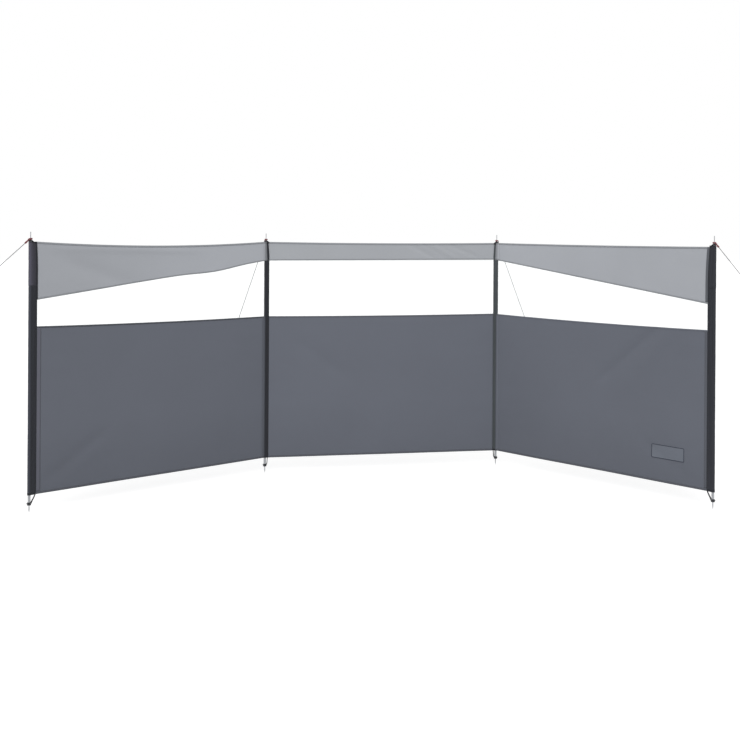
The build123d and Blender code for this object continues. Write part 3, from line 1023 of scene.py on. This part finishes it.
# %% Seam shade strip
def shade_strip(sleeve, low, high, first, last, name, finish):
    """A strip of painted shade over a sleeve's seam, from one distance beside the seam to another.
    """
    def place(u, v):
        z, beside = low + u * (high - low), first + v * (last - first)
        seam = sleeve.seam(z)
        tangent = math.acos(sleeve.radius / seam)
        rise = sleeve.radius * math.sin(tangent) / (seam - sleeve.radius * math.cos(tangent))
        crown = 0.0008 * math.sin(math.pi * v)
        in_front = max(-beside, 0) * rise + 0.0022 + crown
        return Vector((seam + beside, -in_front, z)), (beside, z)
    return rolled(name, 40, 6, place, sleeve.space, finish, CLOTH)


# %% Sleeves
SLEEVE_ROWS, END_ROWS, LAP_ROWS = 150, 3, 40
END_STAND, LAP_STAND, LAP_SHORT = 0.0009, 0.0010, 0.009
LAP_LOW, LAP_HIGH = 1.300, FABRIC_TOP - 0.004
END_HEMS = [("low", FABRIC_LOW - 0.0004, FABRIC_LOW + 0.013),
            ("top", FABRIC_TOP - 0.011, FABRIC_TOP + 0.0004)]
# painted shade: a strip over each outer seam beside the light band
SEAM_SHADE_STRIPS = {
    # lower end, upper end, from and to beside the seam
    "outer_left": (1.215, FABRIC_TOP - 0.002, -0.0085, 0.0020),
    "outer_right": (1.214, FABRIC_TOP - 0.0105, -0.0020, 0.0130),
}
SEAM_SHADE_FINISH = {"outer_left": (sleeve_hem, "sleeve_fabric"),
                  "outer_right": (seam_shade_cloth, "light_fabric")}
# inner sleeves: painted shade on the left, painted light on the right; the left outer one has a
# painted highlight
SLEEVE_SHADE_FINISH = {"outer_left": highlit_sleeve, "inner_left": shaded_sleeve,
                 "inner_right": lit_sleeve, "outer_right": sleeve_cloth}
for sleeve in SLEEVES.values():
    name, finish = f"{sleeve.name}_sleeve", SLEEVE_SHADE_FINISH[sleeve.name]
    cloth = pocket(sleeve, FABRIC_LOW, FABRIC_TOP, SLEEVE_ROWS, f"{name}_cloth", finish)
    own(cloth, sleeve.body, "sleeve_fabric", name)
    hems = []
    for end, low, high in END_HEMS:
        hem = pocket(sleeve, low, high, END_ROWS, f"{name}_{end}_hem", sleeve_hem, END_STAND)
        hems.append(own(hem, sleeve.body, "sleeve_fabric"))
    if sleeve.name in SEAM_SHADE_STRIPS:
        finish = sleeve_lap if sleeve.name == "outer_left" else sleeve_cloth
        layer = pocket(sleeve, LAP_LOW, LAP_HIGH, LAP_ROWS, f"{name}_lap", finish,
                       LAP_STAND, LAP_SHORT)
        hems.append(own(layer, sleeve.body, "sleeve_fabric"))
        finish, slot = SEAM_SHADE_FINISH[sleeve.name]
        strip = shade_strip(sleeve, *SEAM_SHADE_STRIPS[sleeve.name], f"{sleeve.name}_seam_binding", finish)
        hems.append(own(strip, sleeve.body, slot))
    tangent = math.acos(sleeve.radius / sleeve.width)
    girth = 2 * (sleeve.width * math.sin(tangent) + (math.pi - tangent) * sleeve.radius)
    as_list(hems)
    print(sleeve.name, "sleeve", round(girth, 3), "m round")

# %% [markdown]
# ## Laps over the inner poles
#
# At an inner pole the outer bay's cloth laps over the front of the sleeve.
# Below, the dark panel laps a little way and turns with its bay. Each lap's
# end is painted darker: painted shade where the cloth turns round the pole.

# %% Lap
LAP_START, LAP_BEND = 0.024, 0.018  # along the bay, from the pole's axis
LAP_ARC = 0.0125  # radius on which a lap's end is measured sideways
OFF_BAY = (0.0016, 0.0022)  # the lap's distance from the bay's front, at its first two points
OFF_SLEEVE = (0.0026, 0.0024, 0.0014)  # and from the sleeve, at the other three


def lap(name, sleeve, turn, low, high, ends, finishes, rows, hems):
    """Cloth from a bay's front face to the sleeve's front; turn is the bay's direction."""
    bay_way = Vector((math.cos(turn), math.sin(turn), 0))
    bay_front = Vector((math.sin(turn), -math.cos(turn), 0))
    if bay_front.y > 0:
        bay_front.negate()

    def plan(z, end):
        def at(angle, stand_off):
            reach = sleeve.reach(z, angle) + stand_off
            return Vector((reach * math.cos(angle), reach * math.sin(angle), z))
        final = math.asin(end / LAP_ARC) - math.pi / 2
        first = turn + (-math.pi / 2 - turn) * 0.45
        level = Vector((0, 0, z))
        return [bay_way * LAP_START + bay_front * OFF_BAY[0] + level,
                bay_way * LAP_BEND + bay_front * OFF_BAY[1] + level,
                at(first, OFF_SLEEVE[0]), at((first + final) / 2, OFF_SLEEVE[1]),
                at(final, OFF_SLEEVE[2])]

    low_line = route(plan(low, ends[0]), resolution=7)
    high_line = route(plan(high, ends[1]), resolution=7)
    steps = len(low_line) - 1
    length = (length_of(low_line) + length_of(high_line)) / 2

    def place(u, v):
        step = round(u * steps)
        point = low_line[step].lerp(high_line[step], v)
        return point, (u * length, point.z)

    def choose(u, v):
        height = v * (high - low)
        return int(height < hems[0] or high - low - height < hems[1])

    piece = rolled(name, steps, rows, place, sleeve.space, finishes, CLOTH, choose)
    print(name, round(length, 4), "m long")
    return piece


# %% Laps
LAPS = [
    # name, sideways ends (low, high) on the left and the right inner pole,
    # colours, dirt, rows, hems, slot
    ("panel", (-0.003, -0.003), (0.006, 0.006), (DARK, DARK_HEM), DIRT, PANEL_ROWS,
     (BOTTOM_HEM, PANEL_TOP_HEM), "dark_fabric"),
    ("band", (0.0095, 0.003), (0.0112, 0.009), (LIGHT, LIGHT_HEM), 0.0, BAND_ROWS,
     (BAND_HEM, TOP_HEM), "light_fabric"),
]
# painted shade: each lap grows darker towards its end at the pole
RIGHT_LAP_SHADE = (0.0, 0.010, 0.024, 1.0, 0.60)
LAP_SHADE = {"panel": ((0.030, 0.042, 0.012, 1.0, 0.42), RIGHT_LAP_SHADE),
            "band": ((0.0, 0.0, 0.023, 1.0, 0.46), RIGHT_LAP_SHADE)}
for bay, sleeve, turn, side in ((BAYS[0], SLEEVES["inner_left"], -math.pi + LEFT_TURN, 0),
                                (BAYS[2], SLEEVES["inner_right"], -math.pi + RIGHT_TURN, 1)):
    for name, *ends, colours, dirt, rows, hems, slot in LAPS:
        at_pole = 1 - side
        low, high = bay.band_low(at_pole), FABRIC_TOP
        if name == "panel":
            low, high = FABRIC_LOW, bay.panel_top(at_pole)
        finishes = tuple(
            cloth_finish(f"{bay.name} {name} lap {kind}", colour, dirt=dirt,
                         painted_shading=LAP_SHADE[name][side])
            for kind, colour in zip(("cloth", "hem"), colours)
        )
        piece = lap(f"{bay.name}_{name}_lap", sleeve, turn, low, high, ends[side],
                    finishes, rows, hems)
        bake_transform(piece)

# %% [markdown]
# ## Webbing tabs and eyelets
#
# A strap of black webbing is sewn to each sleeve's top and drops over the
# pole's pin through an eyelet. Pulled down over the pole's shoulder, the
# strap takes the shape of a saddle: its middle rests on top and its edges
# hang lower, front and back. It is a grid along a short spline, in which a
# point hangs lower the further out it lies. A bent box could only follow the
# spline. The eyelet is a grid too, rolled into a ring.

# %% Tabs
PIN_BASE = 1.569  # the pole's shoulder, under its pin
TAB_TOP = PIN_BASE + GAP + 0.0016
TAB_HALF, TAB_DROP, TAB_THICK = 0.0105, 0.0062, 0.0014
TAB_LINE = [(0.024, 1.5540), (0.0195, 1.5600), (0.0135, 1.5665), (0.007, 1.5703), (0, 1.5708),
            (-0.006, 1.5704), (-0.0105, 1.5680), (-0.0130, 1.5640)]
EYELET_REACH, EYELET_WIDE, EYELET_HIGH = 0.0046, 0.0013, 0.0008

for sleeve in SLEEVES.values():
    spine = route([Vector((x, 0, z)) for x, z in TAB_LINE], resolution=5)
    steps = len(spine) - 1

    def saddle(u, v):
        point, side = spine[round(u * steps)], v * 2 - 1
        drop = TAB_DROP * abs(side) ** 2.2 * clamp((point.z - 1.556) / 0.010)
        return point + Vector((0, side * TAB_HALF, -drop)), (u * 0.048, v * 2 * TAB_HALF)

    tab = rolled(f"{sleeve.name}_tab", steps, 14, saddle, sleeve.space, webbing, TAB_THICK)
    own(tab, sleeve.body, "sleeve_fabric")

    def ring(u, v):
        around, section = 2 * math.pi * u, 2 * math.pi * v
        reach = EYELET_REACH + EYELET_WIDE * math.cos(section)
        height = TAB_TOP + EYELET_HIGH + EYELET_HIGH * math.sin(section)
        point = Vector((reach * math.cos(around), reach * math.sin(around), height))
        return point, (u * 0.03, v * 0.008)

    eyelet = rolled(f"{sleeve.name}_eyelet", 28, 10, ring, sleeve.space, black_steel)
    own(eyelet, sleeve.body, "steel")
    print(sleeve.name, "tab", round(length_of(spine), 3), "m long")

# %% [markdown]
# ## Guys
#
# A guy is a loop of red cord over the pin, knotted to a light line that runs
# to a peg. The line goes through the runner's first hole, round the peg and
# back to a knot behind the second hole, so sliding the runner tightens it.
# The loop is pulled into line with the guy, so it hangs aslant on the pin.
# The whole line is one spline, which gives it no joint where it turns. A tied
# knot would take many points that nobody sees at this size, so each knot is
# a few close turns of the same cord.

# %% Knots
def wrapped(name, middle, along, turns, radius, thick, pitch, finish):
    """A few turns of cord round a line, as the knot that holds a loop."""
    across = along.orthogonal().normalized()
    beside = along.cross(across)
    points = []
    for i in range(turns * 6 + 1):
        turn, travel = i * math.pi / 3, (i / 6 - turns / 2) * pitch
        outward = across * math.cos(turn) + beside * math.sin(turn)
        points.append(middle + along * travel + outward * radius)
    return cord(name, route(points, resolution=3), thick, finish, sides=8)


# %% One guy
CORD, LOOP_CORD = 0.002, 0.0023  # radii of the line and of the red loop
LOOP_REACH = 0.0384  # from the pin to the loop's far end
PEG_LEAN = math.radians(26)
PEG_RADIUS, LINE_FOOT = 0.0025, 0.010
RUNNER_FROM_PEG, RUNNER_HOLES, RUNNER_THICK = 0.430, 0.024, 0.005
STRAIGHT_RUN, LINE_TAIL = 0.020, 0.0085  # beside the peg, and past the runner
# the red loop's turns round the pin: out along the guy, to its side, above the tab
PIN_TURNS = [
    (0.014, 0.0062, -0.0035), (0.006, 0.0078, 0.0), (-0.005, 0.0080, 0.0),
    (-0.0092, 0.0030, 0.0), (-0.0092, -0.0040, 0.0008), (-0.004, -0.0086, 0.0016),
    (0.004, -0.0078, 0.0026), (0.0095, -0.0020, 0.0040), (0.0078, 0.0058, 0.0052),
    (0.000, 0.0092, 0.0056), (-0.0084, 0.0064, 0.0052), (-0.0094, -0.0020, 0.0050),
    (-0.0050, -0.0088, 0.0048), (0.006, -0.0090, 0.0040), (0.014, -0.0064, -0.0030),
]


def rig(pole, body, origin, heading, reach, tab_below):
    """A loop on the pin, its knot, the line by runner and peg, and the line's knot."""
    guy = stand(origin, heading)
    side = guy.to_3x3() @ Vector((0, 1, 0))
    fall = PIN_BASE / reach
    slant = math.hypot(1, fall)
    on_pin = guy @ Vector((0, 0, TAB_TOP + GAP + tab_below * fall + CORD * slant))
    shank = guy @ Vector((reach + LINE_FOOT * math.tan(PEG_LEAN), 0, LINE_FOOT))
    across = side * (PEG_RADIUS + 0.0005 + CORD)
    pull = (shank + across - on_pin).normalized()
    behind = 0.0026 * slant + CORD * fall + GAP

    tip = LOOP_REACH - behind + CORD
    top = on_pin + pull * tip
    end_out, end_low = tip * math.hypot(pull.x, pull.y), top.z
    rest = TAB_TOP + 0.0036
    points = [(end_out, 0.0012, end_low), (end_out - 0.007, 0.0036, end_low + 0.0065)]
    points += [(x, y, rest + rise) for x, y, rise in PIN_TURNS]
    points += [(end_out - 0.007, -0.0036, end_low + 0.0065), (end_out, -0.0012, end_low)]
    loop = cord(f"{pole}_red_loop", route(points), LOOP_CORD, red_cord, guy)
    own(loop, body, "red_cord", f"{pole}_guy_ring")
    knot = wrapped(f"{pole}_red_knot", on_pin + pull * (tip + 0.002), pull,
                   4, 0.0042, 0.0021, 0.0040, red_cord)
    own(knot, body, "red_cord")

    first = shank + across - pull * RUNNER_FROM_PEG
    second = first - side * RUNNER_HOLES
    away = (second - shank + across).normalized()
    turn = across.length + 0.0004
    points = [top, top.lerp(first, 0.5), first, shank + across - pull * STRAIGHT_RUN,
              shank + across, shank + across + pull * turn, shank - across + pull * turn,
              shank - across, shank - across + away * STRAIGHT_RUN,
              second, second + away * LINE_TAIL]
    line = cord(f"{pole}_line", route(points, resolution=8), CORD, grey_cord)
    own(line, body, "grey_cord", f"{pole}_guy_line")
    stop = wrapped(f"{pole}_line_knot", second + away * (RUNNER_THICK / 2 + 0.0042), away,
                   2, 0.0030, 0.0018, 0.0030, grey_cord)
    own(stop, body, "grey_cord")
    print(pole, "guy", round((first - top).length + RUNNER_FROM_PEG * 2, 3), "m of line")


# %% Four guys
TAB_REACH, TAB_CORNER = 0.0075, math.hypot(0.0075, 0.0085)
for guy in (
    # pole, body, foot, heading, distance to the peg, how far the loop crosses the tab
    ("outer_left", "left_bay", outer_left, math.pi + LEFT_TURN, 1.760, TAB_REACH),
    ("inner_left", "centre", inner_left, math.radians(110), 1.260, TAB_CORNER),
    ("inner_right", "centre", inner_right, math.radians(46), 1.260, TAB_CORNER),
    ("outer_right", "right_bay", outer_right, -RIGHT_TURN, 1.340, TAB_REACH),
):
    rig(*guy)

# %% [markdown]
# ## Elastic foot loops
#
# A black elastic cord comes out of the sleeve's bottom corner, passes round
# the groove in the pole's foot and goes back up, which holds the cloth down.
# Only its front half is written as points, some of them on the groove's
# circle. The back half is the front half mirrored, so both ends meet the
# corner alike.

# %% Foot loops
ELASTIC = 0.0024
GROOVE_HEIGHT, GROOVE_REACH = 0.0098, 0.0131
for sleeve in SLEEVES.values():
    corner = sleeve.width - 0.006
    points = [(corner, -0.0026, FABRIC_LOW + 0.002), (corner - 0.001, -0.0028, FABRIC_LOW - 0.006),
              (0.0150, -0.0042, 0.020), (0.0110, -0.0062, GROOVE_HEIGHT)]
    for degrees in (-75, -115, -155, 165):
        angle = math.radians(degrees)
        points.append((GROOVE_REACH * math.cos(angle), GROOVE_REACH * math.sin(angle),
                       GROOVE_HEIGHT))
    points += [(x, -y, z) for x, y, z in reversed(points[:-1])]
    line = route(points)
    loop = cord(f"{sleeve.name}_elastic", line, ELASTIC, elastic_cord, sleeve.space)
    own(loop, sleeve.body, "elastic", f"{sleeve.name}_foot_loop")
    print(sleeve.name, "foot loop", round(length_of(line), 3), "m long")

# %% [markdown]
# ## The bare patch
#
# Low on the right bay sits a sewn-on patch with nothing on it. It is a
# rounded rectangle of slightly lighter cloth with a dark corded edge. A
# filled curve would have round corners too, but no inner points that could
# follow the drape behind it, so a grid is squeezed into that outline.

# %% Patch
right = BAYS[2]
HALF_WIDE, HALF_HIGH, PATCH_CORNER = 0.114, 0.044, 0.008
FROM_POLE, ABOVE_GROUND = 0.189, 0.208
PATCH_HALF = Vector((HALF_WIDE, HALF_HIGH))
PATCH_MIDDLE = Vector((SPAN - FROM_POLE - HALF_WIDE, ABOVE_GROUND + HALF_HIGH))
PATCH_STAND, PATCH_CLOTH = 0.0011, 0.0009


def round_corner(x, z):
    """Move a point of the rectangle's rim in to its rounded corner."""
    inside = PATCH_HALF - Vector((PATCH_CORNER, PATCH_CORNER))
    beyond = Vector((abs(x) - inside.x, abs(z) - inside.y))
    if beyond.x > 0 and beyond.y > 0:
        beyond *= max(beyond) / beyond.length
        x, z = math.copysign(inside.x + beyond.x, x), math.copysign(inside.y + beyond.y, z)
    return x, z


def on_patch(x, z, front):
    x, z = PATCH_MIDDLE.x + x, PATCH_MIDDLE.y + z
    return Vector((x, right.back(x, z) - front, z))


def patch_ground(u, v):
    x, z = round_corner((u * 2 - 1) * PATCH_HALF.x, (v * 2 - 1) * PATCH_HALF.y)
    return on_patch(x, z, PATCH_STAND), (x, z)


ground_piece = rolled("patch_ground", 76, 30, patch_ground, right.space, patch_cloth, PATCH_CLOTH)
own(ground_piece, right.body, "patch_fabric", "bare_patch")
print("patch:", 2 * HALF_WIDE, "by", 2 * HALF_HIGH, "m")


# %% Patch edging
EDGING, EDGING_INSET, EDGING_STAND, EDGING_STEP = 0.0019, 0.0022, 0.0017, 0.004


def rim_line(inset, front, pitch):
    """Evenly spaced points round the patch, a little inside its edge."""
    inside, radius = PATCH_HALF - Vector((PATCH_CORNER,) * 2), PATCH_CORNER - inset
    line = []
    for quarter, (sx, sz) in enumerate(((1, 1), (-1, 1), (-1, -1), (1, -1))):
        for i in range(9):
            angle = (quarter + i / 8) * math.pi / 2
            line.append(Vector((sx * inside.x + radius * math.cos(angle),
                                sz * inside.y + radius * math.sin(angle))))
    fine = []
    for i, point in enumerate(line):
        following = line[(i + 1) % len(line)]
        steps = max(1, round((following - point).length / pitch))
        fine += [point.lerp(following, j / steps) for j in range(steps)]
    return [on_patch(point.x, point.y, front) for point in fine]


rim = rim_line(EDGING_INSET, EDGING_STAND, EDGING_STEP)
edging = cord("patch_edging", rim, EDGING, patch_edge, right.space, closed=True)
own(edging, right.body, "patch_fabric")
print("edging:", round(length_of(rim), 3), "m round the patch")

# %% [markdown]
# ## Floor, backdrop and light
#
# The floor is a white sheet under the tips of the ground spikes, so that they
# show. It is lit like any surface, and is also bright to the camera, so that
# it reads as plain white while it keeps the soft shadows at the feet. The
# object itself is lit by an even sky and one large soft lamp from the front
# left, at a level where a colour renders about as it is written.

# %% Floor
FLOOR_HEIGHT, FLOOR_HALF, FLOOR_GLOW = -0.0515, 60, 0.66


def seen_directly(tree):
    """1 where the camera sees a surface, also by reflection or through glass."""
    path = tree.nodes.new("ShaderNodeLightPath")
    seen = math_node(tree, "MAXIMUM", path.outputs["Is Camera Ray"],
                     path.outputs["Is Glossy Ray"])
    return math_node(tree, "MAXIMUM", seen, path.outputs["Is Transmission Ray"])


ground = bpy.data.materials.new("white floor")
ground.use_nodes = True
tree, shader = ground.node_tree, shader_of(ground)
shader.inputs["Base Color"].default_value = (0.55, 0.55, 0.55, 1)
shader.inputs["Roughness"].default_value = 1.0
shader.inputs["Specular IOR Level"].default_value = 0.0
glow = tree.nodes.new("ShaderNodeEmission")
glow.inputs["Strength"].default_value = FLOOR_GLOW
nothing = tree.nodes.new("ShaderNodeEmission")
nothing.inputs["Strength"].default_value = 0.0
chosen = tree.nodes.new("ShaderNodeMixShader")
both = tree.nodes.new("ShaderNodeAddShader")
tree.links.new(seen_directly(tree), chosen.inputs["Fac"])
tree.links.new(nothing.outputs[0], chosen.inputs[1])
tree.links.new(glow.outputs[0], chosen.inputs[2])
tree.links.new(shader.outputs[0], both.inputs[0])
tree.links.new(chosen.outputs[0], both.inputs[1])
output = tree.nodes["Material Output"]
tree.links.new(both.outputs[0], output.inputs["Surface"])


def on_floor(u, v):
    spot = Vector(((2 * u - 1) * FLOOR_HALF, (2 * v - 1) * FLOOR_HALF, FLOOR_HEIGHT))
    return spot, (u, v)


floor = rolled("floor", 1, 1, on_floor, Matrix.Identity(4), ground)
print("floor at", FLOOR_HEIGHT)

# %% Sky and lamp
SKY_LIGHT, SUN_LIGHT = 0.72, 1.15
world = bpy.data.worlds.new("studio")
bpy.context.scene.world = world
world.use_nodes = True
tree = world.node_tree
sky = tree.nodes["Background"]
sky.inputs["Color"].default_value = (1, 1, 1, 1)
level = math_node(tree, "MULTIPLY_ADD", seen_directly(tree), 1.0 - SKY_LIGHT, SKY_LIGHT)
tree.links.new(level, sky.inputs["Strength"])

sun_data = bpy.data.lights.new("soft sun", "SUN")
sun_data.energy = SUN_LIGHT
sun_data.angle = math.radians(40)
sun = bpy.data.objects.new("soft sun", sun_data)
sun.rotation_euler = (math.radians(52), 0, math.radians(-22))
bpy.context.scene.collection.objects.link(sun)

bpy.context.scene.view_settings.view_transform = "Standard"
print("sky", SKY_LIGHT, "sun", SUN_LIGHT)
